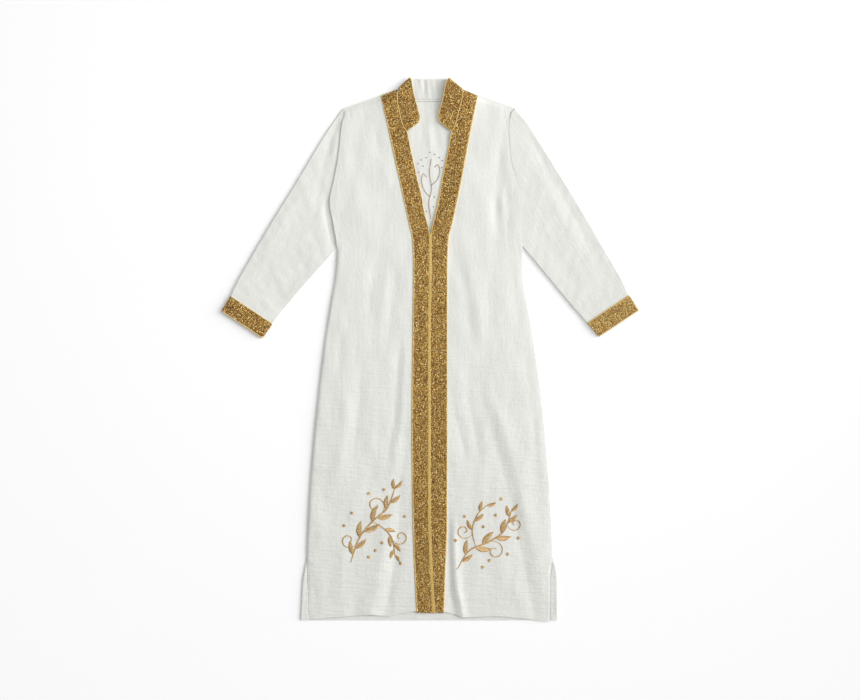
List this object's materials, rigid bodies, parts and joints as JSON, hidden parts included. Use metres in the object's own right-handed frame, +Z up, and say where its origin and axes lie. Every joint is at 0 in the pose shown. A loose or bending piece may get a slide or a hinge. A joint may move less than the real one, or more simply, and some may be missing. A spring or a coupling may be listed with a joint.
{
  "type": "abaya",
  "caption": "Open-front abaya in crinkled white crepe laid flat, with long sleeves, a folded stand collar, and gold bands down the fronts and round the cuffs.",
  "frame": {"origin": "on the surface that the garment lies on, under the middle of its box", "axes": "+Y from the hem to the collar, +X to the right as seen from above, +Z up off the surface"},
  "size_m": [1.0826, 1.4142, 0.0157],
  "materials": {
    "crepe": "matt off-white crinkled crepe",
    "gold_trim": "glittering gold beaded band with satin edges"
  },
  "bodies": {
    "root": {"back_panel": "crepe", "front_left": "crepe", "front_right": "crepe", "sleeve_left": "crepe", "sleeve_right": "crepe", "collar": "crepe", "front_band_left": "gold_trim", "front_band_right": "gold_trim", "cuff_band_left": "gold_trim", "cuff_band_right": "gold_trim", "collar_trim_left": "gold_trim", "collar_trim_right": "gold_trim"}
  },
  "joints": []
}
